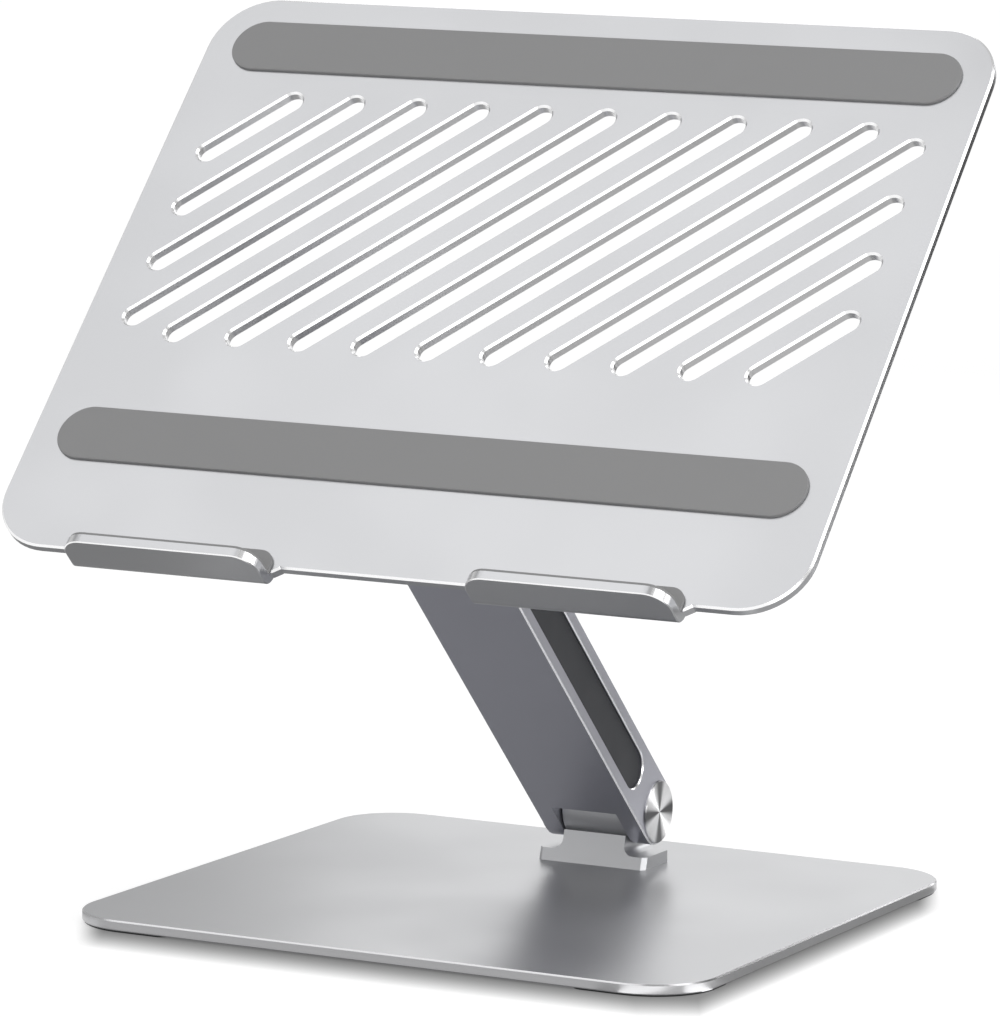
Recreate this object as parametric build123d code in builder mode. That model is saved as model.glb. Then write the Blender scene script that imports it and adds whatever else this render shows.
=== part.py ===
"""Folding laptop stand: a base plate, a leaning arm and a slotted tray, joined by two friction hinges.

Millimetres. +X is to the right, +Y to the back, +Z up. The origin is on the desk, below the middle of the
stand's bounding box as it stands in use.
"""

import os
from math import cos, radians, sin, sqrt, tan

from build123d import *

os.makedirs("parts", exist_ok=True)

# Base plate
base_width = 210.9
base_depth = 201.6
base_thickness = 3.2
base_corner = 21.3
base_edge = 0.45
base_under_edge = 0.35

# Rubber feet
foot_proud = 0.5
foot_length = 38.0
foot_width = 32.0
foot_inset = 0.6
foot_rounding = 4.0
foot_edge = 0.15

# Pose in use
arm_lean = radians(47.04)
tray_tilt = radians(46.67)

# Hinge bracket, the same piece at the base and under the tray
hinge_from_base_middle = 62.9
hinge_height = 17.16
bracket_half = 18.8
bracket_front = 11.1
bracket_back = 7.4
bracket_foot = 3.9
bracket_corner = 1.4
bracket_slope = radians(16.0)
neck_top = 10.0
neck_half = 10.8
neck_fillet = 3.2
barrel_radius = 10.0

# Arm
arm_length = 160.16
arm_width = 36.1
arm_thickness = 21.2
arm_edge = 0.45
ear_inside = 11.4
notch_top = 13.2
recess_start = 24.5
recess_width = 12.7
recess_depth = 1.85
recess_edge = 0.4
inlay_thickness = 1.0
inlay_gap = 0.08

# Friction pivot
pin_radius = 4.0
pin_running_gap = 0.05
ear_bore_gap = 0.1
bush_wall = 1.0
bush_length = 8.0
washer_radius = 8.5
washer_gap = 0.05
pocket_radius = 7.5
pocket_depth = 4.3
pin_head_radius = 6.2
pin_head = 2.4
pin_socket = 2.9
pin_socket_depth = 1.5
spring_thickness = 0.5
spring_rise = 0.25
spring_count = 2
spring_gap = 0.05
spring_radius = 6.6
spring_bore_gap = 0.2
nut_corner_radius = 6.9
nut_thickness = 2.2
pin_tail = 0.1
cap_margin = 0.15
cap_proud = 0.6
cap_edge = 0.3
cap_spigot = 0.6
cap_spigot_gap = 0.1

# Tray
tray_width = 270.0
tray_depth = 217.5
tray_thickness = 3.0
tray_corner = 20.0
tray_edge = 0.6
tray_under_edge = 0.3
tray_hinge_from_front = 39.77

# Diagonal slots in the tray
slot_count = 14
slot_pitch = 21.9
slot_width = 7.1
slot_edge = 0.63
slot_field_width = 235.5
slot_field_depth = 92.6
slot_field_middle = 129.6

# Hooks bent up from the tray's front edge
hook_middle = 67.4
hook_width = 66.2
hook_bend_inside = 1.3
hook_flare = 2.6
hook_root = 1.5
lip_inside = 3.1
lip_height = 13.0
lip_corner = 7.5
lip_edge = 0.3

# Silicone pads
pad_length = 250.4
pad_width = 19.6
pad_proud = 0.9
pad_edge = 0.35
front_pad_middle = 42.6
rear_pad_middle = 197.6
lining = 1.0
lining_reach = 5.3
lining_inset = 0.3
lining_corner = 5.0

# Countersunk screws through the plates into the brackets
screw_head_taper = 45.0
screw_radius = 2.0
screw_head_radius = 3.7
screw_hole_gap = 0.2
screw_socket = 1.45
screw_socket_depth = 1.1
screw_grip = 5.0
screw_thread_spare = 0.6
screw_spread_x = 13.0
screw_spread_y = 9.0

# How near a corner or an edge must be to its expected place to be picked
pick_tolerance = 0.01

# Values that follow from the sizes above
arm_half = arm_width / 2
plate_top = foot_proud + base_thickness
screw_head_depth = (screw_head_radius - screw_radius) / tan(radians(screw_head_taper))
bush_radius = pin_radius + pin_running_gap + bush_wall
ear_web = arm_half - pocket_depth
cap_radius = arm_thickness / 2 - arm_edge - cap_margin
spring_pitch = spring_thickness + spring_gap
spring_stack = spring_rise + spring_count * spring_pitch
recess_run = arm_length - 2 * recess_start
hook_half = hook_width / 2
hook_bend = hook_bend_inside + tray_thickness
hook_flat = lip_inside - hook_bend_inside
hook_reach = lip_inside + tray_thickness
lining_top = lip_height - lining_inset
bracket_middle = (bracket_front - bracket_back) / 2
neck_front = bracket_front - neck_top * tan(bracket_slope)
base_screw_middle = bracket_middle
tray_screw_middle = tray_hinge_from_front + bracket_middle

arm_up = Vector(0, -sin(arm_lean), cos(arm_lean))
tray_up = Vector(0, -sin(tray_tilt), cos(tray_tilt))
tray_back = Vector(0, cos(tray_tilt), sin(tray_tilt))

# Offsets in Y from the base plate's middle, which set the base plate's place over the origin
hinge_to_plate_top = tray_up * (hinge_height + tray_thickness)
hinge_to_tray = arm_up * arm_length + hinge_to_plate_top - tray_back * tray_hinge_from_front
tray_front_y = hinge_from_base_middle + hinge_to_tray.Y
lip_reach_y = max(
    hook_reach * cos(tray_tilt) + (lip_height - lip_edge) * sin(tray_tilt),
    (hook_reach - lip_edge) * cos(tray_tilt) + lip_height * sin(tray_tilt),
)
stand_front_y = min(tray_front_y - lip_reach_y, -base_depth / 2)
tray_rear_run = tray_depth * cos(tray_tilt) + (tray_thickness - tray_under_edge) * sin(tray_tilt)
tray_rear_y = tray_front_y + tray_rear_run
stand_back_y = max(base_depth / 2, tray_rear_y)
base_y = -(stand_front_y + stand_back_y) / 2


# Frames

def frame_at(origin, up):
    """Return a plane at origin with its normal along up and its x along the stand's X."""
    return Plane(origin=origin, x_dir=(1, 0, 0), z_dir=up)


def side_plane(frame, x=0.0):
    """Return the plane across a frame's X: sketch x runs along the frame's y, sketch y along its z."""
    return Plane(origin=frame.from_local_coords((x, 0, 0)), x_dir=frame.y_dir, z_dir=frame.x_dir)


def front_plane(frame):
    """Return the plane across a frame's y: sketch x runs along the frame's x, sketch y along its z."""
    return Plane(origin=frame.origin, x_dir=frame.x_dir, z_dir=-frame.y_dir)


base_hinge = Vector(0, base_y + hinge_from_base_middle, plate_top + hinge_height)
tray_hinge = base_hinge + arm_up * arm_length
base_seat = frame_at((0, base_hinge.Y, plate_top), (0, 0, 1))
base_under = frame_at((0, base_hinge.Y, foot_proud), (0, 0, -1))
arm_frame = frame_at(base_hinge, arm_up)
arm_end_frame = frame_at(tray_hinge, arm_up)
tray_frame = frame_at(base_hinge + hinge_to_tray, tray_up)
tray_seat = frame_at(tray_hinge + tray_up * hinge_height, -tray_up)
tray_axis = Axis(tray_frame.origin, tray_up)
tray_run = Axis(tray_frame.origin, tray_back)


def save(builder, name):
    """Label a finished piece and write its file."""
    builder.part.label = name
    export_step(builder.part, f"parts/{name}.step")


def screw_places(middle):
    """Return the four screw places of a bracket whose middle is at y = middle in the sketch plane."""
    across = screw_spread_x / 2
    along = screw_spread_y / 2
    return [(x, middle + y) for x in (-across, across) for y in (-along, along)]


# Base plate, with countersunk screw holes from below

with BuildPart() as base_plate:
    with BuildSketch(Plane.XY.offset(foot_proud)):
        with Locations((0, base_y)):
            RectangleRounded(base_width, base_depth, base_corner)
    extrude(amount=base_thickness)
    chamfer(base_plate.faces().sort_by(Axis.Z)[-1].edges(), base_edge)
    chamfer(base_plate.faces().sort_by(Axis.Z)[0].edges(), base_under_edge)
    with BuildSketch(base_under):
        with Locations(*screw_places(base_screw_middle)):
            Circle(screw_radius + screw_hole_gap)
    extrude(amount=-base_thickness, mode=Mode.SUBTRACT)
    with BuildSketch(base_under):
        with Locations(*screw_places(base_screw_middle)):
            Circle(screw_head_radius)
    extrude(amount=-screw_head_depth, taper=screw_head_taper, mode=Mode.SUBTRACT)
save(base_plate, "base_plate")


# Rubber feet, which follow the plate's corners

with BuildPart() as base_feet:
    with BuildSketch() as soles:
        with Locations((0, base_y)):
            with GridLocations(base_width - foot_length, base_depth - foot_width, 2, 2):
                Rectangle(foot_length, foot_width)
            RectangleRounded(
                base_width - 2 * foot_inset,
                base_depth - 2 * foot_inset,
                base_corner - foot_inset,
                mode=Mode.INTERSECT,
            )
        inner_x = base_width / 2 - foot_length + pick_tolerance
        inner_y = base_depth / 2 - foot_width + pick_tolerance
        fillet(
            [spot for spot in soles.vertices() if abs(spot.X) < inner_x or abs(spot.Y - base_y) < inner_y],
            foot_rounding,
        )
    extrude(amount=foot_proud)
    chamfer(base_feet.faces().sort_by(Axis.Z)[:4].edges(), foot_edge)
save(base_feet, "base_feet")


# Hinge brackets

def make_bracket(seat):
    """Return a bracket that stands on a seat plane, with its sloped front towards the seat's -y."""
    with BuildPart() as bracket:
        with BuildSketch(side_plane(seat)):
            with BuildLine():
                Polyline(
                    (-bracket_front, 0),
                    (bracket_back, 0),
                    (bracket_back, neck_top),
                    (-neck_front, neck_top),
                    close=True,
                )
            make_face()
        extrude(amount=bracket_half, both=True)
        with BuildSketch(front_plane(seat)) as tee:
            Rectangle(2 * bracket_half, bracket_foot, align=(Align.CENTER, Align.MIN))
            Rectangle(2 * neck_half, neck_top, align=(Align.CENTER, Align.MIN))
            fillet(tee.vertices().group_by(Axis.Y)[1].sort_by(Axis.X)[1:3], neck_fillet)
        extrude(amount=bracket_front + bracket_back, both=True, mode=Mode.INTERSECT)
        corners = []
        for edge in bracket.edges():
            spot = seat.to_local_coords(edge.center())
            at_end = abs(abs(spot.X) - bracket_half) < pick_tolerance
            if at_end and abs(spot.Z - bracket_foot / 2) < pick_tolerance:
                corners.append(edge)
        chamfer(corners, bracket_corner)
        with BuildSketch(side_plane(seat)):
            with Locations((0, hinge_height)):
                Circle(barrel_radius)
        extrude(amount=neck_half, both=True)
        with BuildSketch(side_plane(seat)):
            with Locations((0, hinge_height)):
                Circle(bush_radius)
        extrude(amount=neck_half, both=True, mode=Mode.SUBTRACT)
        with BuildSketch(seat):
            with Locations(*screw_places(-bracket_middle)):
                Circle(screw_radius)
        extrude(amount=screw_grip + screw_thread_spare, mode=Mode.SUBTRACT)
    return bracket


save(make_bracket(base_seat), "base_bracket")
save(make_bracket(tray_seat), "tray_bracket")


# Bracket screws, whose heads lie flush with the plates

def make_screws(head_plane, middle, plate):
    """Return the four screws that run from a head plane through a plate into a bracket."""
    with BuildPart() as screws:
        with BuildSketch(head_plane):
            with Locations(*screw_places(middle)):
                Circle(screw_head_radius)
        extrude(amount=-screw_head_depth, taper=screw_head_taper)
        with BuildSketch(head_plane):
            with Locations(*screw_places(middle)):
                Circle(screw_radius)
        extrude(amount=-(plate + screw_grip))
        with BuildSketch(head_plane):
            with Locations(*screw_places(middle)):
                RegularPolygon(screw_socket, 6)
        extrude(amount=-screw_socket_depth, mode=Mode.SUBTRACT)
    return screws


save(make_screws(base_under, base_screw_middle, base_thickness), "base_bracket_screws")
save(make_screws(tray_frame, tray_screw_middle, tray_thickness), "tray_bracket_screws")


# Friction pivots: bushes and washers stay with the bracket, the clamped pin and the caps with the arm

def make_bushes(pivot):
    """Return the two plain bushes in the bracket's barrel."""
    with BuildPart() as bushes:
        for side in (-1, 1):
            with BuildSketch(side_plane(pivot, side * neck_half)):
                Circle(bush_radius)
                Circle(pin_radius + pin_running_gap, mode=Mode.SUBTRACT)
            extrude(amount=-side * bush_length)
    return bushes


def make_washers(pivot):
    """Return the two washers between the barrel's ends and the arm's ears."""
    with BuildPart() as washers:
        for side in (-1, 1):
            with BuildSketch(side_plane(pivot, side * (neck_half + washer_gap))):
                Circle(washer_radius)
                Circle(pin_radius + pin_running_gap, mode=Mode.SUBTRACT)
            extrude(amount=side * (ear_inside - neck_half - 2 * washer_gap))
    return washers


def make_pin(pivot):
    """Return the pivot pin, with its head in the right pocket and its tail in the left one."""
    with BuildPart() as pin:
        with BuildSketch(side_plane(pivot, ear_web)):
            Circle(pin_head_radius)
        extrude(amount=pin_head)
        with BuildSketch(side_plane(pivot, ear_web)):
            Circle(pin_radius)
        extrude(amount=-(2 * ear_web + spring_stack + nut_thickness + pin_tail))
        with BuildSketch(side_plane(pivot, ear_web + pin_head)):
            RegularPolygon(pin_socket, 6)
        extrude(amount=-pin_socket_depth, mode=Mode.SUBTRACT)
    return pin


def make_springs(pivot):
    """Return the coned spring washers between the left pocket's floor and the nut."""
    spring_bore = pin_radius + spring_bore_gap
    with BuildPart() as springs:
        for place in range(spring_count):
            rim_x = -(ear_web + place * spring_pitch)
            bore_x = rim_x - spring_rise
            with BuildSketch(front_plane(pivot)):
                with BuildLine():
                    Polyline(
                        (rim_x, spring_radius),
                        (rim_x - spring_thickness, spring_radius),
                        (bore_x - spring_thickness, spring_bore),
                        (bore_x, spring_bore),
                        close=True,
                    )
                make_face()
            revolve(axis=Axis(pivot.origin, pivot.x_dir))
    return springs


def make_nut(pivot):
    """Return the nut that clamps the spring washers."""
    with BuildPart() as nut:
        with BuildSketch(side_plane(pivot, -(ear_web + spring_stack))):
            RegularPolygon(nut_corner_radius, 6)
            Circle(pin_radius, mode=Mode.SUBTRACT)
        extrude(amount=-nut_thickness)
    return nut


def make_cap(pivot, side):
    """Return the round cap that closes one pocket, with a spigot that centres it."""
    with BuildPart() as cap:
        with BuildSketch(side_plane(pivot, side * arm_half)):
            Circle(cap_radius)
        extrude(amount=side * cap_proud)
        chamfer(cap.faces().sort_by(Axis(pivot.origin, pivot.x_dir * side))[-1].edges(), cap_edge)
        with BuildSketch(side_plane(pivot, side * arm_half)):
            Circle(pocket_radius - cap_spigot_gap)
        extrude(amount=-side * cap_spigot)
    return cap


for name, pivot in (("base", arm_frame), ("tray", arm_end_frame)):
    save(make_bushes(pivot), f"{name}_hinge_bushes")
    save(make_washers(pivot), f"{name}_friction_washers")
    save(make_pin(pivot), f"{name}_hinge_pin")
    save(make_springs(pivot), f"{name}_hinge_springs")
    save(make_nut(pivot), f"{name}_hinge_nut")
    save(make_cap(pivot, -1), f"{name}_cap_left")
    save(make_cap(pivot, 1), f"{name}_cap_right")


# Arm, forked at both ends, with a pocket round each pivot and a long recess in each side

with BuildPart() as arm_body:
    with BuildSketch(side_plane(arm_frame)):
        with Locations((0, arm_length / 2)):
            SlotCenterToCenter(arm_length, arm_thickness, rotation=90)
    extrude(amount=arm_half, both=True)
    chamfer(arm_body.faces().filter_by(Axis.X).edges(), arm_edge)
    with BuildSketch(front_plane(arm_frame)):
        with Locations((0, notch_top)):
            Rectangle(2 * ear_inside, notch_top + arm_thickness, align=(Align.CENTER, Align.MAX))
        with Locations((0, arm_length - notch_top)):
            Rectangle(2 * ear_inside, notch_top + arm_thickness, align=(Align.CENTER, Align.MIN))
    extrude(amount=arm_thickness, both=True, mode=Mode.SUBTRACT)
    with BuildSketch(side_plane(arm_frame)):
        with Locations((0, 0), (0, arm_length)):
            Circle(pin_radius + ear_bore_gap)
    extrude(amount=arm_width, both=True, mode=Mode.SUBTRACT)
    for side in (-1, 1):
        with BuildSketch(side_plane(arm_frame, side * arm_half)):
            with Locations((0, 0), (0, arm_length)):
                Circle(pocket_radius)
        extrude(amount=-side * pocket_depth, mode=Mode.SUBTRACT)
        with BuildSketch(side_plane(arm_frame, side * arm_half)):
            with Locations((0, arm_length / 2)):
                SlotCenterToCenter(recess_run, recess_width, rotation=90)
        extrude(amount=-side * recess_depth, mode=Mode.SUBTRACT)
        outside = arm_body.faces().sort_by(Axis.X, reverse=side < 0)[-1]
        chamfer(outside.inner_wires().sort_by(SortBy.LENGTH)[-1].edges(), recess_edge)
save(arm_body, "arm_body")


# Inlay strips on the floors of the side recesses

for word, side in (("left", -1), ("right", 1)):
    with BuildPart() as arm_inlay:
        with BuildSketch(side_plane(arm_frame, side * (arm_half - recess_depth))):
            with Locations((0, arm_length / 2)):
                SlotCenterToCenter(recess_run, recess_width - 2 * inlay_gap, rotation=90)
        extrude(amount=side * inlay_thickness)
    save(arm_inlay, f"arm_inlay_{word}")


# Hooks, bent up from the tray's front edge

def make_root(side):
    """Return the flared root of one hook, with its slanted edges cut like the tray's own."""
    with BuildPart() as root:
        with BuildSketch(tray_frame):
            with Locations((side * hook_middle, 0)):
                Polygon(
                    (-hook_half - hook_flare, hook_root),
                    (-hook_half - hook_flare, 0),
                    (-hook_half, -hook_flat),
                    (hook_half, -hook_flat),
                    (hook_half + hook_flare, 0),
                    (hook_half + hook_flare, hook_root),
                    align=None,
                )
        extrude(amount=-tray_thickness)
        slants = root.faces().sort_by(tray_axis)[-1].edges().filter_by(Axis.X, reverse=True)
        chamfer(slants, tray_edge)
    return root


def make_hook(side):
    """Return one hook: a flat strip, a bend and a lip with rounded corners and a cut outer rim."""
    with BuildPart() as hook:
        with BuildSketch(side_plane(tray_frame, side * hook_middle)) as profile:
            with BuildLine():
                Polyline(
                    (hook_root, 0),
                    (-lip_inside, 0),
                    (-lip_inside, lip_height),
                    (-hook_reach, lip_height),
                    (-hook_reach, -tray_thickness),
                    (hook_root, -tray_thickness),
                    close=True,
                )
            make_face()
            fillet(profile.vertices().sort_by_distance((-hook_reach, -tray_thickness))[0], hook_bend)
            fillet(profile.vertices().sort_by_distance((-lip_inside, 0))[0], hook_bend_inside)
        extrude(amount=hook_half, both=True)
        fillet(hook.edges().filter_by(tray_run).group_by(tray_axis)[-1], lip_corner)
        lip_front = hook.faces().filter_by(tray_run).sort_by(tray_run)[0]
        rim_start = hook_bend_inside + pick_tolerance
        chamfer(lip_front.edges().filter_by_position(tray_axis, rim_start, lip_height), lip_edge)
    return hook


# Tray plate with its diagonal slots, screw holes and hooks

def slot_line(place):
    """Return the middle and the length between end centres of one slot, cut short at the field's border."""
    offset = (place - (slot_count - 1) / 2) * slot_pitch
    low = max(-slot_field_width / 2, offset - slot_field_depth / 2)
    high = min(slot_field_width / 2, offset + slot_field_depth / 2)
    middle = (low + high) / 2
    return (middle, slot_field_middle + middle - offset), sqrt(2) * (high - low)


with BuildPart() as tray_plate:
    with BuildSketch(tray_frame):
        with Locations((0, tray_depth / 2)):
            RectangleRounded(tray_width, tray_depth, tray_corner)
    extrude(amount=-tray_thickness)
    chamfer(tray_plate.faces().sort_by(tray_axis)[-1].edges(), tray_edge)
    chamfer(tray_plate.faces().sort_by(tray_axis)[0].edges(), tray_under_edge)
    with BuildSketch(tray_frame):
        for place in range(slot_count):
            middle, length = slot_line(place)
            with Locations(middle):
                SlotCenterToCenter(length, slot_width, rotation=45)
    extrude(amount=-tray_thickness, mode=Mode.SUBTRACT)
    slot_rims = tray_plate.faces().sort_by(tray_axis)[-1].inner_wires()
    chamfer(slot_rims.edges(), slot_edge)
    with BuildSketch(tray_frame):
        with Locations(*screw_places(tray_screw_middle)):
            Circle(screw_radius + screw_hole_gap)
    extrude(amount=-tray_thickness, mode=Mode.SUBTRACT)
    with BuildSketch(tray_frame):
        with Locations(*screw_places(tray_screw_middle)):
            Circle(screw_head_radius)
    extrude(amount=-screw_head_depth, taper=screw_head_taper, mode=Mode.SUBTRACT)
    for side in (-1, 1):
        add(make_root(side).part)
        add(make_hook(side).part)
save(tray_plate, "tray_plate")


# Silicone strips on the tray

for name, middle in (("front_pad", front_pad_middle), ("rear_pad", rear_pad_middle)):
    with BuildPart() as pad:
        with BuildSketch(tray_frame):
            with Locations((0, middle)):
                SlotOverall(pad_length, pad_width)
        extrude(amount=pad_proud)
        fillet(pad.faces().sort_by(tray_axis)[-1].edges(), pad_edge)
    save(pad, name)


# Silicone linings in the hooks

for word, side in (("left", -1), ("right", 1)):
    with BuildPart() as hook_pad:
        with BuildSketch(side_plane(tray_frame, side * hook_middle)) as strip:
            with BuildLine():
                Polyline(
                    (lining_reach, 0),
                    (-lip_inside, 0),
                    (-lip_inside, lining_top),
                    (lining - lip_inside, lining_top),
                    (lining - lip_inside, lining),
                    (lining_reach, lining),
                    close=True,
                )
            make_face()
            fillet(strip.vertices().sort_by_distance((-lip_inside, 0))[0], hook_bend_inside)
            inner_corner = strip.vertices().sort_by_distance((lining - lip_inside, lining))[0]
            fillet(inner_corner, hook_bend_inside - lining)
        extrude(amount=hook_half - lining_inset, both=True)
        fillet(hook_pad.edges().filter_by(tray_run).group_by(tray_axis)[-1], lip_corner - lining_inset)
        fillet(hook_pad.edges().filter_by(tray_axis).group_by(tray_run)[-1], lining_corner)
    save(hook_pad, f"hook_pad_{word}")
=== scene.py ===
"""Looks of a folding laptop stand: a base plate, a leaning arm and a slotted tray, in the CAD frame."""

import logging
import math
from dataclasses import dataclass, field
from enum import Enum

import bmesh
import bpy
from mathutils import Matrix, Vector


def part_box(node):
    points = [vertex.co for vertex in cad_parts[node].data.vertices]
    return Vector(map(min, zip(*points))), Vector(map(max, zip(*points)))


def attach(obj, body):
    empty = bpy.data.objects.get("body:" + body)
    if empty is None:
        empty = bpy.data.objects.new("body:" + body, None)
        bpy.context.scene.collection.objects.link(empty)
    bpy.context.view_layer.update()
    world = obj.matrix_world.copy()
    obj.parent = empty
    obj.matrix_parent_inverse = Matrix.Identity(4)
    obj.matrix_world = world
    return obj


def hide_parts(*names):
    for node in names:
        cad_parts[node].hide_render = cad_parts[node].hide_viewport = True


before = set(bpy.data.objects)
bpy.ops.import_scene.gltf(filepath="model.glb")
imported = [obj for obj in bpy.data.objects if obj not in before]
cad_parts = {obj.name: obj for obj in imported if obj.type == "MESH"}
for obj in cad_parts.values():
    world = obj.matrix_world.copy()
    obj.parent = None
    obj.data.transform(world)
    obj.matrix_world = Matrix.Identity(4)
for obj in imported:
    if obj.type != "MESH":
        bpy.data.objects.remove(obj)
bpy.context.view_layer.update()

logging.basicConfig(level=logging.INFO, format="%(message)s")
LOG = logging.getLogger("laptop_stand")

MM = 0.001
Triple = tuple[float, float, float]
Socket = bpy.types.NodeSocket


class Body(Enum):
    """The moving bodies of the stand."""

    BASE = "base"
    ARM = "arm"
    TRAY = "tray"


class Slot(Enum):
    """Names of material slots for the modelled pieces; this script gives no piece a slot."""

    SILICONE = "grey_silicone"
    RUBBER = "black_rubber"


# Shader building


@dataclass
class Graph:
    """A node tree that is being built, with short calls to add and join nodes."""

    tree: bpy.types.NodeTree

    def add(self, kind: str, **values: object) -> bpy.types.Node:
        """Add a node and set its properties.

        Args:
            kind: The node's type name.
            values: Properties of the node by name.

        Returns:
            The new node.
        """
        node = self.tree.nodes.new(kind)
        for name, value in values.items():
            setattr(node, name, value)
        return node

    def feed(self, value: Socket | float | Triple, socket: Socket) -> None:
        """Link a socket to an input, or set the input's plain value."""
        if isinstance(value, Socket):
            self.tree.links.new(value, socket)
        else:
            socket.default_value = value

    def math(self, operation: str, first: Socket | float, second: Socket | float = 0.0) -> Socket:
        """Add a math node.

        Args:
            operation: The operation's name.
            first: A socket or a number.
            second: A socket or a number.

        Returns:
            The result.
        """
        node = self.add("ShaderNodeMath", operation=operation)
        self.feed(first, node.inputs[0])
        self.feed(second, node.inputs[1])
        return node.outputs["Value"]

    def vector(
        self, operation: str, first: Socket | Triple, second: Socket | Triple, out: str = "Vector"
    ) -> Socket:
        """Add a vector math node.

        Args:
            operation: The operation's name.
            first: A vector socket or a plain vector.
            second: A vector socket or a plain vector.
            out: The name of the output to use.

        Returns:
            The result.
        """
        node = self.add("ShaderNodeVectorMath", operation=operation)
        self.feed(first, node.inputs[0])
        self.feed(second, node.inputs[1])
        return node.outputs[out]

    def ramp(self, value: Socket, low: tuple[float, float], high: tuple[float, float]) -> Socket:
        """Map a value smoothly from one range to another.

        Args:
            value: The value to map.
            low: Input and output at the lower end.
            high: Input and output at the upper end.

        Returns:
            The mapped value.
        """
        node = self.add("ShaderNodeMapRange", interpolation_type="SMOOTHSTEP")
        self.feed(value, node.inputs["Value"])
        self.feed(low[0], node.inputs["From Min"])
        self.feed(low[1], node.inputs["To Min"])
        self.feed(high[0], node.inputs["From Max"])
        self.feed(high[1], node.inputs["To Max"])
        return node.outputs["Result"]

    def blend(self, factor: Socket, first: Socket | float, second: Socket | float) -> Socket:
        """Mix two values.

        Args:
            factor: How much of the second value shows.
            first: The value at 0.
            second: The value at 1.

        Returns:
            The mixed value.
        """
        rest = self.math("MULTIPLY", first, self.math("SUBTRACT", 1.0, factor))
        return self.math("ADD", self.math("MULTIPLY", second, factor), rest)

    def tint(self, factor: Socket, first: Socket | Triple, second: Triple) -> Socket:
        """Mix two colours.

        Args:
            factor: How much of the second colour shows.
            first: The colour at 0.
            second: The colour at 1.

        Returns:
            The mixed colour.
        """
        node = self.add("ShaderNodeMixRGB")
        self.feed(factor, node.inputs["Fac"])
        self.feed(first if isinstance(first, Socket) else (*first, 1.0), node.inputs["Color1"])
        self.feed((*second, 1.0), node.inputs["Color2"])
        return node.outputs["Color"]

    def within(self, place: Socket, middle: Triple, half: Triple, corner: float = 0.0) -> Socket:
        """Mask the inside of a box.

        Args:
            place: The place to test.
            middle: The box's middle.
            half: Half the box's size.
            corner: The radius of the box's corners.

        Returns:
            1 inside the box and 0 outside it.
        """
        core = tuple(size - corner for size in half)
        aside = self.vector("ABSOLUTE", self.vector("SUBTRACT", place, middle), (0.0, 0.0, 0.0))
        over = self.vector("MAXIMUM", self.vector("SUBTRACT", aside, core), (0.0, 0.0, 0.0))
        away = self.vector("LENGTH", over, (0.0, 0.0, 0.0), "Value")
        return self.math("LESS_THAN", away, corner + 0.001 * MM)


@dataclass
class EffectGroup:
    """A shader node group that several finishes share."""

    name: str
    inputs: dict[str, float | Triple]
    outputs: tuple[str, ...]
    graph: Graph = field(init=False)
    start: bpy.types.Node = field(init=False)
    end: bpy.types.Node = field(init=False)

    def __post_init__(self) -> None:
        """Make the empty group with its sockets."""
        tree = bpy.data.node_groups.new(self.name, "ShaderNodeTree")
        for label, value in self.inputs.items():
            kind = "NodeSocketFloat" if isinstance(value, float) else "NodeSocketVector"
            tree.interface.new_socket(label, in_out="INPUT", socket_type=kind).default_value = value
        for label in self.outputs:
            tree.interface.new_socket(label, in_out="OUTPUT", socket_type="NodeSocketFloat")
        self.graph = Graph(tree)
        self.start = self.graph.add("NodeGroupInput")
        self.end = self.graph.add("NodeGroupOutput")

    def place(self, graph: Graph, **values: float | Triple) -> bpy.types.Node:
        """Place the group in a material.

        Args:
            graph: The material's graph.
            values: Input values by name, with underscores for spaces.

        Returns:
            The group node.
        """
        node = graph.add("ShaderNodeGroup", node_tree=self.graph.tree)
        for name, value in values.items():
            graph.feed(value, node.inputs[name.replace("_", " ")])
        return node


def make_grain() -> EffectGroup:
    """Return the group that gives a fine surface grain and broad soft clouds."""
    group = EffectGroup("surface_grain", {"Grain Scale": 3000.0, "Cloud Scale": 25.0}, ("Grain", "Cloud"))
    place = group.graph.add("ShaderNodeTexCoord").outputs["Object"]
    for label in group.outputs:
        noise = group.graph.add("ShaderNodeTexNoise")
        group.graph.feed(place, noise.inputs["Vector"])
        group.graph.feed(group.start.outputs[f"{label} Scale"], noise.inputs["Scale"])
        group.graph.feed(noise.outputs["Fac"], group.end.inputs[label])
    return group


def make_cut_edge() -> EffectGroup:
    """Return the group that masks a sheet's sides, and the bevels between them and the face given."""
    group = EffectGroup("cut_edge", {"Face Normal": (0.0, 0.0, 1.0), "Both Faces": 0.0}, ("Bevel", "Side"))
    graph = group.graph
    normal = graph.add("ShaderNodeTexCoord").outputs["Normal"]
    across = graph.vector("DOT_PRODUCT", normal, group.start.outputs["Face Normal"], "Value")
    tilt = graph.blend(group.start.outputs["Both Faces"], across, graph.math("ABSOLUTE", across))
    off_side = graph.ramp(tilt, (0.30, 0.0), (0.45, 1.0))
    upright = graph.ramp(graph.math("ABSOLUTE", across), (0.30, 1.0), (0.45, 0.0))
    off_face = graph.ramp(tilt, (0.90, 1.0), (0.97, 0.0))
    graph.feed(graph.math("MULTIPLY", off_side, off_face), group.end.inputs["Bevel"])
    graph.feed(upright, group.end.inputs["Side"])
    return group


GRAIN = make_grain()
CUT_EDGE = make_cut_edge()


# Finishes


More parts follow.
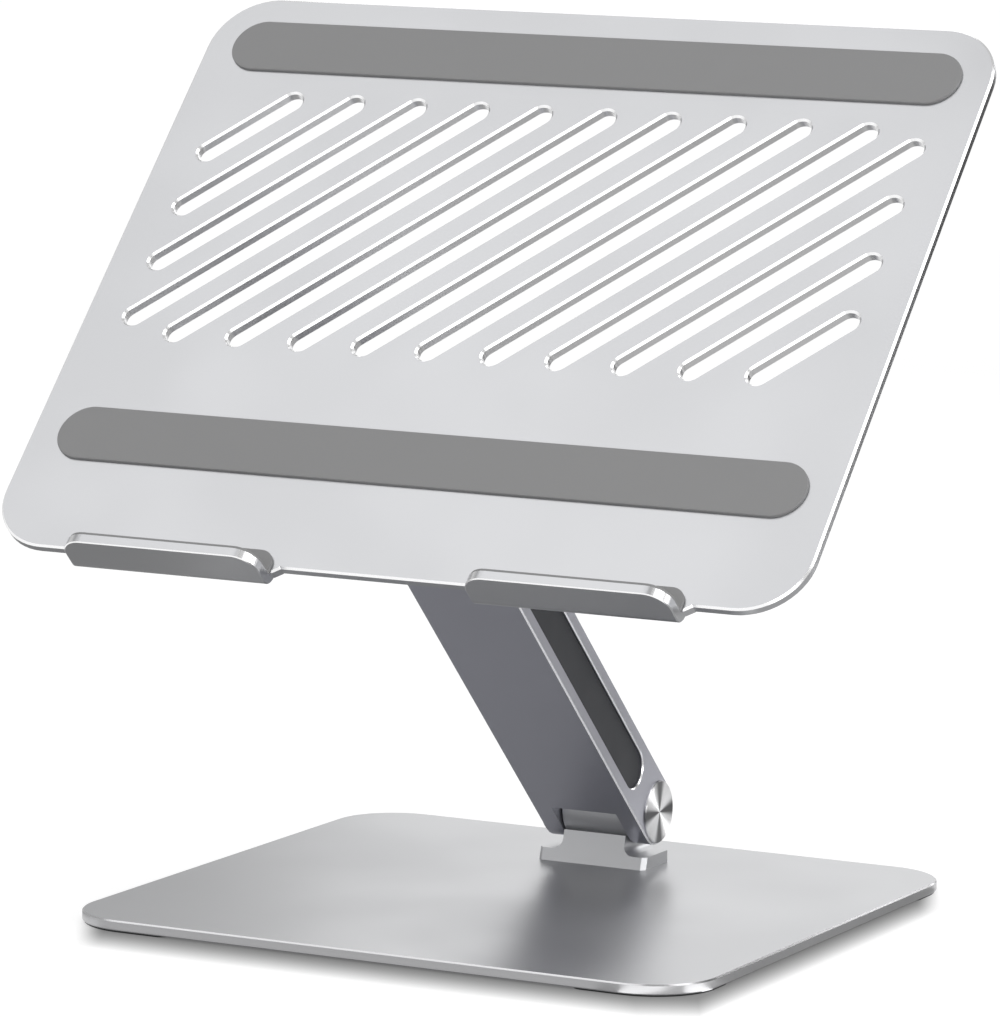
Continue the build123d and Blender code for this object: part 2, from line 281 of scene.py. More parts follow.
@dataclass
class Surface:
    """A material with its shader, which a finish wires up."""

    name: str
    material: bpy.types.Material = field(init=False)
    graph: Graph = field(init=False)
    inputs: bpy.types.bpy_prop_collection = field(init=False)

    def __post_init__(self) -> None:
        """Make the plain material."""
        self.material = bpy.data.materials.new(self.name)
        self.material.use_nodes = True
        self.graph = Graph(self.material.node_tree)
        self.inputs = self.material.node_tree.nodes["Principled BSDF"].inputs

    def feed(self, **values: Socket | float) -> None:
        """Link or set the shader's inputs by name, with underscores for spaces."""
        for name, value in values.items():
            self.graph.feed(value, self.inputs[name.replace("_", " ")])

    def bump(self, height: Socket, depth: float, strength: float) -> None:
        """Bump the surface.

        Args:
            height: The height from 0 to 1.
            depth: The bump's depth in metres.
            strength: How much of it shows.
        """
        node = self.graph.add("ShaderNodeBump")
        self.graph.feed(depth, node.inputs["Distance"])
        self.graph.feed(strength, node.inputs["Strength"])
        self.graph.feed(height, node.inputs["Height"])
        self.feed(Normal=node.outputs["Normal"])


@dataclass(frozen=True)
class SatinAluminium:
    """Bead-blasted, anodised aluminium, whose bevels may be cut bright."""

    name: str
    light: Triple = (0.517, 0.521, 0.534)
    shade: Triple = (0.487, 0.491, 0.503)
    cut: Triple = (0.94, 0.94, 0.945)
    smoothest: float = 0.30
    roughest: float = 0.36
    cut_roughness: float = 0.22
    milled: Triple = (0.74, 0.74, 0.745)
    metallic: float = 0.85
    face_normal: Triple | None = None
    both_faces: float = 0.0
    milled_middle: Triple | None = None
    milled_half: Triple = (0.0, 0.0, 0.0)

    def make(self) -> bpy.types.Material:
        """Return the material."""
        surface = Surface(self.name)
        graph = surface.graph
        grain = GRAIN.place(graph, Grain_Scale=2600.0, Cloud_Scale=14.0)
        rough = graph.ramp(grain.outputs["Cloud"], (0.3, self.smoothest), (0.7, self.roughest))
        colour = graph.tint(grain.outputs["Cloud"], self.shade, self.light)
        height = grain.outputs["Grain"]
        if self.face_normal is not None:
            masks = CUT_EDGE.place(graph, Face_Normal=self.face_normal, Both_Faces=self.both_faces).outputs
            edge = masks["Bevel"]
            if self.milled_middle is not None:
                wall = graph.math("MULTIPLY", masks["Side"], self.milled_field(graph))
                colour = graph.tint(wall, colour, self.milled)
            colour = graph.tint(edge, colour, self.cut)
            rough = graph.blend(edge, rough, self.cut_roughness)
            height = graph.math("MULTIPLY", height, graph.math("SUBTRACT", 1.0, edge))
        surface.feed(Metallic=self.metallic, Base_Color=colour, Roughness=rough)
        surface.bump(height, 0.00002, 0.25)
        return surface.material

    def milled_field(self, graph: Graph) -> Socket:
        """Return a mask that is 1 inside the box in which the sheet's sides are milled."""
        place = graph.add("ShaderNodeTexCoord").outputs["Object"]
        return graph.within(place, self.milled_middle, self.milled_half)


@dataclass(frozen=True)
class SpunAluminium:
    """Bright aluminium turned on a lathe, with fine rings, and four painted highlight wedges with painted
    shade between them.
    """

    name: str
    centre: Triple
    light: Triple = (1.00, 1.00, 1.00)
    shade: Triple = (0.86, 0.86, 0.87)
    painted_shade: Triple = (0.16, 0.16, 0.165)
    ring_pitch: float = 0.25 * MM

    def make(self) -> bpy.types.Material:
        """Return the material."""
        surface = Surface(self.name)
        graph = surface.graph
        place = graph.vector("SUBTRACT", graph.add("ShaderNodeTexCoord").outputs["Object"], self.centre)
        spoke = graph.vector("MULTIPLY", place, (0.0, 1.0, 1.0))
        turn = graph.add(
            "ShaderNodeVectorTransform", vector_type="VECTOR", convert_from="OBJECT", convert_to="WORLD"
        )
        graph.feed(spoke, turn.inputs["Vector"])
        reach = graph.vector("LENGTH", spoke, (0.0, 0.0, 0.0), "Value")
        ring = graph.math("SINE", graph.math("MULTIPLY", reach, math.tau / self.ring_pitch))
        shine = graph.ramp(ring, (-1.0, 0.0), (1.0, 1.0))
        surface.feed(Metallic=1.0, Roughness=0.34, Anisotropic=1.0, Tangent=turn.outputs["Vector"])
        rings = graph.tint(shine, self.shade, self.light)
        # Painted shade and painted highlight: the colour is darkened between four wedges that stand in for
        # the turned metal's reflections
        surface.feed(Base_Color=graph.tint(self.painted_wedge_shade(graph, spoke, reach), rings, self.painted_shade))
        return surface.material

    @staticmethod
    def painted_wedge_shade(graph: Graph, spoke: Socket, reach: Socket) -> Socket:
        """Return where the cap's colour is darkened to painted shade between its four painted highlight
        wedges.

        Args:
            graph: The material's graph.
            spoke: The place on the cap from its centre.
            reach: The distance from the centre.

        Returns:
            0 in the painted highlight wedges and 1 in the painted shade between them.
        """
        parts = graph.add("ShaderNodeSeparateXYZ")
        graph.feed(spoke, parts.inputs["Vector"])
        product = graph.math("MULTIPLY", parts.outputs["Y"], parts.outputs["Z"])
        ratio = graph.math("DIVIDE", product, graph.math("MULTIPLY", reach, reach))
        return graph.ramp(graph.math("ABSOLUTE", ratio), (0.10, 1.0), (0.40, 0.0))


@dataclass(frozen=True)
class Polymer:
    """A matte rubber, silicone or plastic with a fine moulded grain."""

    name: str
    light: Triple
    shade: Triple
    smoothest: float = 0.55
    roughest: float = 0.70
    grain_scale: float = 2200.0
    grain_depth: float = 0.00004
    specular: float = 0.35

    def make(self) -> bpy.types.Material:
        """Return the material."""
        surface = Surface(self.name)
        graph = surface.graph
        grain = GRAIN.place(graph, Grain_Scale=self.grain_scale, Cloud_Scale=40.0)
        rough = graph.ramp(grain.outputs["Cloud"], (0.3, self.smoothest), (0.7, self.roughest))
        surface.feed(Specular_IOR_Level=self.specular, Roughness=rough)
        surface.feed(Base_Color=graph.tint(grain.outputs["Cloud"], self.shade, self.light))
        surface.bump(grain.outputs["Grain"], self.grain_depth, 0.5)
        return surface.material


@dataclass(frozen=True)
class TurnedMetal:
    """A plain turned or stamped metal for the pieces inside the hinges."""

    name: str
    light: Triple
    shade: Triple

    def make(self) -> bpy.types.Material:
        """Return the material."""
        surface = Surface(self.name)
        graph = surface.graph
        grain = GRAIN.place(graph, Grain_Scale=1800.0, Cloud_Scale=220.0)
        surface.feed(Metallic=1.0, Roughness=graph.ramp(grain.outputs["Cloud"], (0.3, 0.28), (0.7, 0.42)))
        surface.feed(Base_Color=graph.tint(grain.outputs["Cloud"], self.shade, self.light))
        surface.bump(grain.outputs["Grain"], 0.00002, 0.3)
        return surface.material


# Modelled pieces


@dataclass
class Mould:
    """A shape that is being modelled, which becomes a piece of the stand."""

    name: str
    shape: bmesh.types.BMesh = field(default_factory=bmesh.new)

    def soften(self, edges: list[bmesh.types.BMEdge], size: float, segments: int) -> None:
        """Round edges over.

        Args:
            edges: The edges.
            size: The rounding's size in metres.
            segments: Steps across the rounding.
        """
        bmesh.ops.bevel(
            self.shape, geom=edges, offset=size, offset_type="OFFSET", affect="EDGES",
            segments=segments, profile=0.5, material=-1,
        )

    def round_corner(self, corner: bmesh.types.BMVert, size: float, segments: int) -> None:
        """Round one corner of a flat sheet.

        Args:
            corner: The corner.
            size: The rounding's radius in metres.
            segments: Steps round the corner.
        """
        bmesh.ops.bevel(
            self.shape, geom=[corner], offset=size, offset_type="OFFSET", affect="VERTICES",
            segments=segments, profile=0.5, material=-1,
        )

    def sharp_edges(self) -> list[bmesh.types.BMEdge]:
        """Return the edges where two faces meet at more than 60 degrees."""
        return [edge for edge in self.shape.edges if edge.calc_face_angle(0.0) > math.radians(60.0)]

    def set_on(self, body: Body, material: bpy.types.Material, node: str) -> None:
        """Turn the shape into a piece that rides on a body and stands for a CAD node.

        Args:
            body: The body that carries the piece.
            material: The piece's material.
            node: The CAD node.
        """
        bmesh.ops.recalc_face_normals(self.shape, faces=self.shape.faces)
        for face in self.shape.faces:
            face.smooth = True
        for edge in self.shape.edges:
            edge.smooth = edge.calc_face_angle(0.0) < math.radians(50.0)
        mesh = bpy.data.meshes.new(self.name)
        self.shape.to_mesh(mesh)
        self.shape.free()
        mesh.materials.append(material)
        piece = bpy.data.objects.new(self.name, mesh)
        bpy.context.scene.collection.objects.link(piece)
        shading = piece.modifiers.new("even_shading", "WEIGHTED_NORMAL")
        shading.keep_sharp = True
        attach(piece, body.value)
        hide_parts(node)
        LOG.info("built %s, %d faces, for %s", self.name, len(mesh.polygons), node)


def dress(material: bpy.types.Material, *nodes: str) -> None:
    """Give CAD nodes a material.

    Args:
        material: The material.
        nodes: The nodes' names.
    """
    for name in nodes:
        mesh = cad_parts[name].data
        mesh.materials.clear()
        mesh.materials.append(material)
        LOG.info("dressed %s in %s", name, material.name)


@dataclass
class BaseAssembly:
    """The base plate, its hinge bracket and its four rubber feet."""

    corner: float = 21.3 * MM
    foot_length: float = 38.0 * MM
    foot_width: float = 32.0 * MM
    foot_inset: float = 0.6 * MM
    foot_height: float = 0.5 * MM
    foot_rounding: float = 4.0 * MM
    foot_edge: float = 0.15 * MM
    groove_inset: float = 2.0 * MM
    groove_half: float = 0.4 * MM
    groove_depth: float = 0.2 * MM

    def build_foot(self, side: int, end: int, rubber: bpy.types.Material) -> None:
        """Build one foot under a corner of the plate, with a shallow groove round its sole.

        Args:
            side: -1 for the left, 1 for the right.
            end: -1 for the front, 1 for the back.
            rubber: The foot's material.
        """
        low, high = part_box("base_plate")
        middle, half = (low + high) / 2, (high - low) / 2
        outer = Vector((side * (half.x - self.foot_inset), middle.y + end * (half.y - self.foot_inset), 0.0))
        size = Vector((self.foot_length, self.foot_width, self.foot_height))
        size -= Vector((self.foot_inset, self.foot_inset, 0.0))
        mould = Mould(f"foot_{'front' if end < 0 else 'back'}_{'left' if side < 0 else 'right'}")
        shape = mould.shape
        bmesh.ops.create_cube(shape, size=1.0)
        bmesh.ops.scale(shape, vec=size, verts=shape.verts)
        spot = outer - Vector((side * size.x, end * size.y, -size.z)) / 2
        bmesh.ops.translate(shape, vec=spot, verts=shape.verts)
        posts = [edge for edge in shape.edges if (edge.verts[0].co - edge.verts[1].co).xy.length < MM / 100]
        posts.sort(key=lambda edge: (edge.verts[0].co - outer).xy.length)
        mould.soften(posts[1:], self.foot_rounding, 10)
        post = min(shape.edges, key=lambda edge: sum((vert.co - outer).xy.length for vert in edge.verts))
        mould.soften([post], self.corner - self.foot_inset, 24)
        sole = min(shape.faces, key=lambda face: face.calc_center_median().z)
        mould.soften(list(sole.edges), self.foot_edge, 3)
        sole = min(shape.faces, key=lambda face: face.calc_center_median().z)
        for width, depth in (
            (self.groove_inset, 0.0),
            (self.groove_half, -self.groove_depth),
            (self.groove_half, self.groove_depth),
        ):
            bmesh.ops.inset_region(shape, faces=[sole], thickness=width, depth=depth, use_even_offset=True)
        mould.set_on(Body.BASE, rubber, "base_feet")

    def build(self) -> None:
        """Dress the plate and the bracket, and build the feet."""
        plate = SatinAluminium(
            "base_plate_aluminium", cut=(0.56, 0.56, 0.57), milled=(0.54, 0.54, 0.55), metallic=0.82,
            face_normal=(0.0, 0.0, 1.0), milled_middle=(0.0, 0.0, 0.0), milled_half=(1.0, 1.0, 1.0),
        )
        dress(plate.make(), "base_plate")
        dress(SatinAluminium("base_bracket_aluminium").make(), "base_bracket")
        rubber = Polymer("foot_rubber", (0.024, 0.024, 0.025), (0.014, 0.014, 0.015)).make()
        for side in (-1, 1):
            for end in (-1, 1):
                self.build_foot(side, end, rubber)


@dataclass
class ArmAssembly:
    """The forked arm with its inlays, caps and hinge pins."""

    light: Triple = (0.50, 0.503, 0.555)
    shade: Triple = (0.47, 0.473, 0.52)
    inlay: Polymer = Polymer(
        "inlay_plastic", (0.036, 0.037, 0.042), (0.029, 0.030, 0.034), 0.42, 0.55, specular=0.22
    )

    def build(self) -> None:
        """Dress the arm and everything that turns with it."""
        metal = SatinAluminium(
            "arm_aluminium", light=self.light, shade=self.shade, metallic=0.90,
            face_normal=(1.0, 0.0, 0.0), both_faces=1.0,
        )
        dress(metal.make(), "arm_body")
        dress(self.inlay.make(), "arm_inlay_left", "arm_inlay_right")
        for hinge in ("base", "tray"):
            self.dress_hinge(hinge)

    @staticmethod
    def dress_hinge(hinge: str) -> None:
        """Dress one hinge's caps, whose rings centre on its pin."""
        low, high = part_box(f"{hinge}_hinge_pin")
        cap = SpunAluminium(f"{hinge}_cap_aluminium", tuple((low + high) / 2))
        dress(cap.make(), f"{hinge}_cap_left", f"{hinge}_cap_right")


@dataclass
class HingeHardware:
    """The screws, pins, springs, bushes and washers inside both hinges."""

    steel: TurnedMetal = TurnedMetal("hardware_steel", (0.52, 0.52, 0.53), (0.40, 0.40, 0.41))
    bronze: TurnedMetal = TurnedMetal("bush_bronze", (0.50, 0.33, 0.17), (0.38, 0.24, 0.12))
    plastic: Polymer = Polymer("washer_plastic", (0.11, 0.11, 0.115), (0.08, 0.08, 0.085))

    def build(self) -> None:
        """Dress the hardware of both hinges."""
        steel, bronze, plastic = self.steel.make(), self.bronze.make(), self.plastic.make()
        for hinge in ("base", "tray"):
            dress(steel, f"{hinge}_bracket_screws", f"{hinge}_hinge_pin")
            dress(steel, f"{hinge}_hinge_springs", f"{hinge}_hinge_nut")
            dress(bronze, f"{hinge}_hinge_bushes")
            dress(plastic, f"{hinge}_friction_washers")


@dataclass
class TrayAssembly:
    """The slotted tray with its hooks, silicone strips and hook linings."""

    tilt: float = math.radians(46.67)
    front: Triple = (0.0, -91.81415 * MM, 114.91160 * MM)
    strip_length: float = 250.4 * MM
    strip_width: float = 19.6 * MM
    strip_height: float = 0.9 * MM
    strip_edge: float = 0.3 * MM
    strips: tuple[tuple[str, float], ...] = (("front_pad", 42.6 * MM), ("rear_pad", 197.6 * MM))
    hook_middle: float = 67.4 * MM
    hook_half: float = 33.1 * MM
    lip_inside: float = 3.1 * MM
    lining: float = 1.0 * MM
    lining_reach: float = 5.3 * MM
    lining_top: float = 12.7 * MM
    lining_inset: float = 0.3 * MM
    lining_bend: float = 1.3 * MM
    lining_edge: float = 0.12 * MM
    tray_corner: float = 5.0 * MM
    lip_corner: float = 7.2 * MM
    milled_middle: Triple = (0.0, 0.0, 209.0 * MM)
    milled_half: Triple = (128.0 * MM, 1.0, 51.0 * MM)

    @property
    def place(self) -> Matrix:
        """Return the move from the tray's own frame, x across and y up the tray, to the CAD frame."""
        return Matrix.Translation(self.front) @ Matrix.Rotation(self.tilt, 4, "X")

    @property
    def normal(self) -> Triple:
        """Return the tray's outward normal."""
        return (0.0, -math.sin(self.tilt), math.cos(self.tilt))

    def build_strip(self, node: str, middle: float, silicone: bpy.types.Material) -> None:
        """Build one round-ended strip on the tray.

        Args:
            node: The CAD node that it stands for.
            middle: The strip's distance from the tray's front edge.
            silicone: The strip's material.
        """
        mould = Mould(node.replace("pad", "strip"))
        shape = mould.shape
        steps = 128
        bmesh.ops.create_circle(shape, cap_ends=True, segments=steps, radius=self.strip_width / 2)
        half_step = Matrix.Rotation(math.pi / steps, 3, "Z")
        bmesh.ops.rotate(shape, matrix=half_step, verts=shape.verts)
        run = (self.strip_length - self.strip_width) / 2
        for side in (-1, 1):
            end = [vert for vert in shape.verts if vert.co.x * side > 0.0]
            bmesh.ops.translate(shape, vec=(side * run, 0.0, 0.0), verts=end)
        raised = bmesh.ops.extrude_face_region(shape, geom=list(shape.faces))["geom"]
        top = [item for item in raised if isinstance(item, bmesh.types.BMVert)]
        bmesh.ops.translate(shape, vec=(0.0, 0.0, self.strip_height), verts=top)
        rim = [edge for edge in shape.edges if min(vert.co.z for vert in edge.verts) > self.strip_height / 2]
        mould.soften(rim, self.strip_edge, 4)
        spot = Matrix.Translation((0.0, middle, 0.0))
        bmesh.ops.transform(shape, matrix=self.place @ spot, verts=shape.verts)
        mould.set_on(Body.TRAY, silicone, node)

    def build_lining(self, word: str, side: int, silicone: bpy.types.Material) -> None:
        """Build the bent lining of one hook: a flat on the tray, a bend, and a wall behind the lip.

        Args:
            word: left or right.
            side: -1 for the left, 1 for the right.
            silicone: The lining's material.
        """
        mould = Mould(f"hook_lining_{word}")
        shape = mould.shape
        bmesh.ops.create_grid(shape, x_segments=1, y_segments=2, size=1.0)
        bmesh.ops.scale(shape, vec=(self.hook_half - self.lining_inset, 1.0, 1.0), verts=shape.verts)
        flat = [vert for vert in shape.verts if vert.co.y > 0.5]
        wall = [vert for vert in shape.verts if vert.co.y < -0.5]
        bmesh.ops.scale(shape, vec=(1.0, self.lining_reach + self.lip_inside, 1.0), verts=flat)
        bmesh.ops.scale(shape, vec=(1.0, self.lining_top, 1.0), verts=wall)
        bmesh.ops.rotate(shape, matrix=Matrix.Rotation(math.radians(-90.0), 3, "X"), verts=wall)
        fold = [edge for edge in shape.edges if all(vert.co.yz.length < MM / 100 for vert in edge.verts)]
        mould.soften(fold, self.lining_bend, 6)
        for corner in flat:
            mould.round_corner(corner, self.tray_corner, 10)
        for corner in wall:
            mould.round_corner(corner, self.lip_corner, 10)
        bmesh.ops.recalc_face_normals(shape, faces=shape.faces)
        broad = max(shape.faces, key=lambda face: face.calc_area())
        inward = 1.0 if broad.normal.y + broad.normal.z > 0.0 else -1.0
        bmesh.ops.solidify(shape, geom=list(shape.faces), thickness=-inward * self.lining)
        mould.soften(mould.sharp_edges(), self.lining_edge, 2)
        spot = Matrix.Translation((side * self.hook_middle, -self.lip_inside, 0.0))
        bmesh.ops.transform(shape, matrix=self.place @ spot, verts=shape.verts)
        mould.set_on(Body.TRAY, silicone, f"hook_pad_{word}")

    def build(self) -> None:
        """Dress the tray and its bracket, and build the strips and the linings."""
        sheet = SatinAluminium(
            "tray_aluminium", metallic=1.0, face_normal=self.normal,
            milled_middle=self.milled_middle, milled_half=self.milled_half,
        )
        dress(sheet.make(), "tray_plate")
        dress(SatinAluminium("tray_bracket_aluminium").make(), "tray_bracket")
        silicone = Polymer("pad_silicone", (0.285, 0.285, 0.287), (0.265, 0.265, 0.267)).make()
        for node, middle in self.strips:
            self.build_strip(node, middle, silicone)
        for word, side in (("left", -1), ("right", 1)):
            self.build_lining(word, side, silicone)


# Studio


@dataclass(frozen=True)
class Softbox:
    """A glowing panel that lights the stand and shows in its metal, but not to the camera."""

    name: str
    centre: Triple
    aim: Triple
    width: float
    height: float
    glow: float

    def hang(self) -> None:
        """Put the panel up."""
        lamp = bpy.data.lights.new(self.name, "AREA")
        lamp.shape = "RECTANGLE"
        lamp.size, lamp.size_y = self.width, self.height
        lamp.energy = self.glow * math.pi * self.width * self.height
        panel = bpy.data.objects.new(self.name, lamp)
        panel.location = self.centre
        panel.rotation_euler = (Vector(self.aim) - Vector(self.centre)).to_track_quat("-Z", "Y").to_euler()
        panel.visible_camera = False
        bpy.context.scene.collection.objects.link(panel)
        LOG.info("hung %s", self.name)


@dataclass(frozen=True)
class Flag:
    """A grey card that only shows in the metal's reflections."""

    name: str
    centre: Triple
    aim: Triple
    width: float
    height: float
    grey: float

    def stand(self) -> None:
        """Put the card up."""
        shape = bmesh.new()
        bmesh.ops.create_grid(shape, x_segments=1, y_segments=1, size=0.5)
        bmesh.ops.scale(shape, vec=(self.width, self.height, 1.0), verts=shape.verts)
        turn = (Vector(self.aim) - Vector(self.centre)).to_track_quat("Z", "Y").to_matrix().to_4x4()
        bmesh.ops.transform(shape, matrix=Matrix.Translation(self.centre) @ turn, verts=shape.verts)
        mesh = bpy.data.meshes.new(self.name)
        shape.to_mesh(mesh)
        shape.free()
        material = bpy.data.materials.new(self.name)
        material.use_nodes = True
        graph = Graph(material.node_tree)
        glow = graph.add("ShaderNodeEmission")
        graph.feed(self.grey, glow.inputs["Strength"])
        graph.feed(glow.outputs["Emission"], material.node_tree.nodes["Material Output"].inputs["Surface"])
        mesh.materials.append(material)
        card = bpy.data.objects.new(self.name, mesh)
        card.visible_camera = card.visible_diffuse = card.visible_shadow = card.visible_transmission = False
        bpy.context.scene.collection.objects.link(card)
        LOG.info("stood %s", self.name)


@dataclass
class Studio:
    """White floor, soft lamps, sky and camera."""

    floor_half: float = 15.0
    floor_near: float = 0.45
    floor_far: float = 2.2
    plate_corner: float = 0.0213
    # The shadow_ values shape a painted shadow on the floor in front of the plate
    shadow_way: Triple = (0.450, -0.893, 0.0)
    shadow_reach: float = 0.026
    shadow_fall: float = 1.5
    shadow_side: float = 0.005
    shadow_tuck: float = 0.003
    shadow_paint: float = 0.16
    shadow_glow: float = 0.15
    open_paint: float = 0.40
    open_glow: float = 0.72
    under_inset: float = 0.0032
    under_glow: float = 0.80
    floor_grey: Triple = (0.58, 0.58, 0.59)
    sky_low: float = 0.56
    sky_high: float = 0.55
    sky_rim: float = 0.06
    eye: Triple = (0.844187, -1.679681, 0.385954)
    look_at: Triple = (0.000507, -0.012223, 0.125717)
    roll: float = math.radians(0.916)
    lens: float = 219.09
    softboxes: tuple[Softbox, ...] = (
        Softbox("lamp_above", (-0.52, -0.40, 1.30), (-0.05, -0.05, 0.15), 1.00, 0.95, 1.05),
        Softbox("lamp_right", (0.78, 0.02, 1.00), (0.0, -0.05, 0.12), 0.80, 0.60, 1.9),
        Softbox("lamp_side", (1.10, 0.45, 0.52), (0.0, 0.0, 0.12), 0.45, 0.55, 1.5),
        Softbox("lamp_corner", (1.05, -0.52, 0.22), (0.0, -0.05, 0.05), 0.35, 0.42, 3.6),
        Softbox("lamp_front", (0.95, -1.15, 0.32), (0.0, -0.05, 0.12), 0.75, 0.60, 1.5),
        Softbox("lamp_back", (-0.22, 1.30, 0.56), (-0.22, 0.0, 0.30), 1.16, 0.60, 1.00),
        Softbox("lamp_low", (0.82, 0.79, 0.13), (0.0, 0.05, 0.05), 0.30, 0.22, 5.0),
        Softbox("lamp_high", (0.34, 1.11, 0.48), (0.05, 0.0, 0.05), 0.36, 0.30, 2.0),
        Softbox("lamp_left", (-0.60, -1.05, 0.48), (0.0, -0.05, 0.10), 0.55, 0.55, 0.5),
    )
    flags: tuple[Flag, ...] = (
        Flag("flag_right", (0.30, 0.545, 0.12), (0.0, 0.05, 0.12), 0.26, 0.24, 0.34),
        Flag("flag_front", (-0.09, -0.195, 0.0002), (-0.09, -0.195, 1.0), 0.54, 0.16, 0.30),
        Flag("flag_left", (-0.235, 0.015, 0.0002), (-0.235, 0.015, 1.0), 0.25, 0.26, 0.36),
        Flag("flag_back", (0.234, 0.31, 0.0002), (0.234, 0.31, 1.0), 0.312, 0.40, 0.24),
        Flag("flag_beside", (0.235, -0.021, 0.0002), (0.235, -0.021, 1.0), 0.25, 0.258, 0.60),
        Flag("flag_far", (0.80, 1.25, 0.0002), (0.80, 1.25, 1.0), 0.80, 1.48, 0.10),
        Flag("flag_edge", (0.235, 0.21, 0.22), (0.135, -0.02, 0.24), 0.16, 0.24, 0.05),
        Flag("card_back", (0.027, 0.37, 0.0003), (0.027, 0.37, 1.0), 0.095, 0.28, 2.6),
        Flag("card_front", (-0.015, -0.107, 0.0003), (-0.015, -0.107, 1.0), 0.18, 0.018, 0.72),
        Flag("card_right", (0.116, 0.015, 0.0003), (0.116, 0.015, 1.0), 0.020, 0.16, 0.22),
        Flag("card_corner", (0.097, -0.106, 0.0004), (0.097, -0.106, 1.0), 0.028, 0.018, 2.2),
        Flag("card_beside", (0.114, -0.083, 0.0004), (0.114, -0.083, 1.0), 0.020, 0.012, 2.4),
    )

    def lay_floor(self) -> None:
        """Lay a floor that reads as white, takes the stand's real shadow, and carries a painted shadow in
        front of the plate.
        """
        shape = bmesh.new()
        bmesh.ops.create_grid(shape, x_segments=1, y_segments=1, size=self.floor_half)
        bmesh.ops.translate(shape, vec=(0.0, 0.0, -0.00005), verts=shape.verts)
        mesh = bpy.data.meshes.new("floor")
        shape.to_mesh(mesh)
        shape.free()
        mesh.materials.append(self.floor_white())
        floor = bpy.data.objects.new("floor", mesh)
        bpy.context.scene.collection.objects.link(floor)

    def floor_white(self) -> bpy.types.Material:
        """Return the floor's material.

        Seen directly or in a reflection it glows. From below it can be seen through, and under the plate
        it gives the light in which the underside is then seen.
        """
        material = bpy.data.materials.new("floor_white")
        material.use_nodes = True
        graph = Graph(material.node_tree)
        place = graph.add("ShaderNodeTexCoord").outputs["Object"]
        reach = graph.vector("LENGTH", place, (0.0, 0.0, 0.0), "Value")
        far = graph.ramp(reach, (self.floor_near, 0.0), (self.floor_far, 1.0))
        # Painted shadow: the floor's paint and glow are darkened in front of the plate
        shadow = self.painted_plate_shadow(graph, place)
        share = graph.blend(far, graph.blend(shadow, self.open_paint, self.shadow_paint), 0.0)
        glow = graph.blend(far, graph.blend(shadow, self.open_glow, self.shadow_glow), 1.02)
        paint = graph.add("ShaderNodeBsdfDiffuse")
        graph.feed(graph.tint(share, (0.0, 0.0, 0.0), (1.0, 1.0, 1.0)), paint.inputs["Color"])
        light = graph.add("ShaderNodeEmission")
        graph.feed(glow, light.inputs["Strength"])
        seen = graph.add("ShaderNodeAddShader")
        graph.feed(paint.outputs["BSDF"], seen.inputs[0])
        graph.feed(light.outputs["Emission"], seen.inputs[1])
        plain = graph.add("ShaderNodeBsdfDiffuse")
        graph.feed((*self.floor_grey, 1.0), plain.inputs["Color"])
        path = graph.add("ShaderNodeLightPath").outputs
        direct = graph.math("MAXIMUM", path["Is Camera Ray"], path["Is Transmission Ray"])
        direct = graph.math("MAXIMUM", direct, path["Is Glossy Ray"])
        top = self.choose(graph, direct, plain.outputs["BSDF"], seen.outputs["Shader"])
        low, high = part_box("base_plate")
        inset = Vector((self.under_inset, self.under_inset, -1.0))
        corner = self.plate_corner - self.under_inset
        under = graph.within(place, tuple((low + high) / 2.0), tuple((high - low) / 2.0 - inset), corner)
        lit = graph.add("ShaderNodeEmission")
        graph.feed(self.under_glow, lit.inputs["Strength"])
        top = self.choose(graph, under, top, lit.outputs["Emission"])
        clear = graph.add("ShaderNodeBsdfTransparent").outputs["BSDF"]
        below = graph.add("ShaderNodeNewGeometry").outputs["Backfacing"]
        whole = self.choose(graph, below, top, clear)
        graph.feed(whole, material.node_tree.nodes["Material Output"].inputs["Surface"])
        return material

    def painted_plate_shadow(self, graph: Graph, place: Socket) -> Socket:
        """Return how dark the floor is painted in a soft shadow that falls forwards from the plate.

        Args:
            graph: The floor's graph.
            place: The place on the floor.

        Returns:
            1 at the plate's near edges, fading to 0 away from them.
        """
        low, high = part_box("base_plate")
        way, across = Vector(self.shadow_way), Vector((-self.shadow_way[1], self.shadow_way[0], 0.0))
        radius = self.plate_corner
        near, left, right = (
            Vector((x.x - side * radius, y.y + end * radius, 0.0))
            for x, side, y, end in ((high, 1, low, 1), (low, -1, low, 1), (high, 1, high, -1))
        )
        spot = graph.add("ShaderNodeSeparateXYZ")
        graph.feed(place, spot.inputs["Vector"])
        along = graph.vector("DOT_PRODUCT", place, tuple(way), "Value")
        beside = graph.vector("DOT_PRODUCT", place, tuple(across), "Value")
        past_front = graph.math("DIVIDE", graph.math("SUBTRACT", low.y, spot.outputs["Y"]), -way.y)
        past_right = graph.math("DIVIDE", graph.math("SUBTRACT", spot.outputs["X"], high.x), way.x)
        past_corner = graph.math("SUBTRACT", along, near.dot(way) + radius)
        past = graph.math("MAXIMUM", graph.math("MAXIMUM", past_front, past_right), past_corner)
        share = graph.math("MAXIMUM", graph.math("DIVIDE", past, self.shadow_reach), 0.0)
        share = graph.math("MINIMUM", share, 1.0)
        shadow = graph.math("SUBTRACT", 1.0, graph.math("POWER", share, self.shadow_fall))
        for value, start, step in (
            (beside, left.dot(across) - radius + self.shadow_tuck, -self.shadow_side),
            (beside, right.dot(across) + radius - self.shadow_tuck, self.shadow_side),
            (spot.outputs["Y"], high.y, self.shadow_side),
            (spot.outputs["X"], low.x, -self.shadow_side),
        ):
            shadow = graph.math("MULTIPLY", shadow, self.fade(graph, value, start, step))
        return shadow

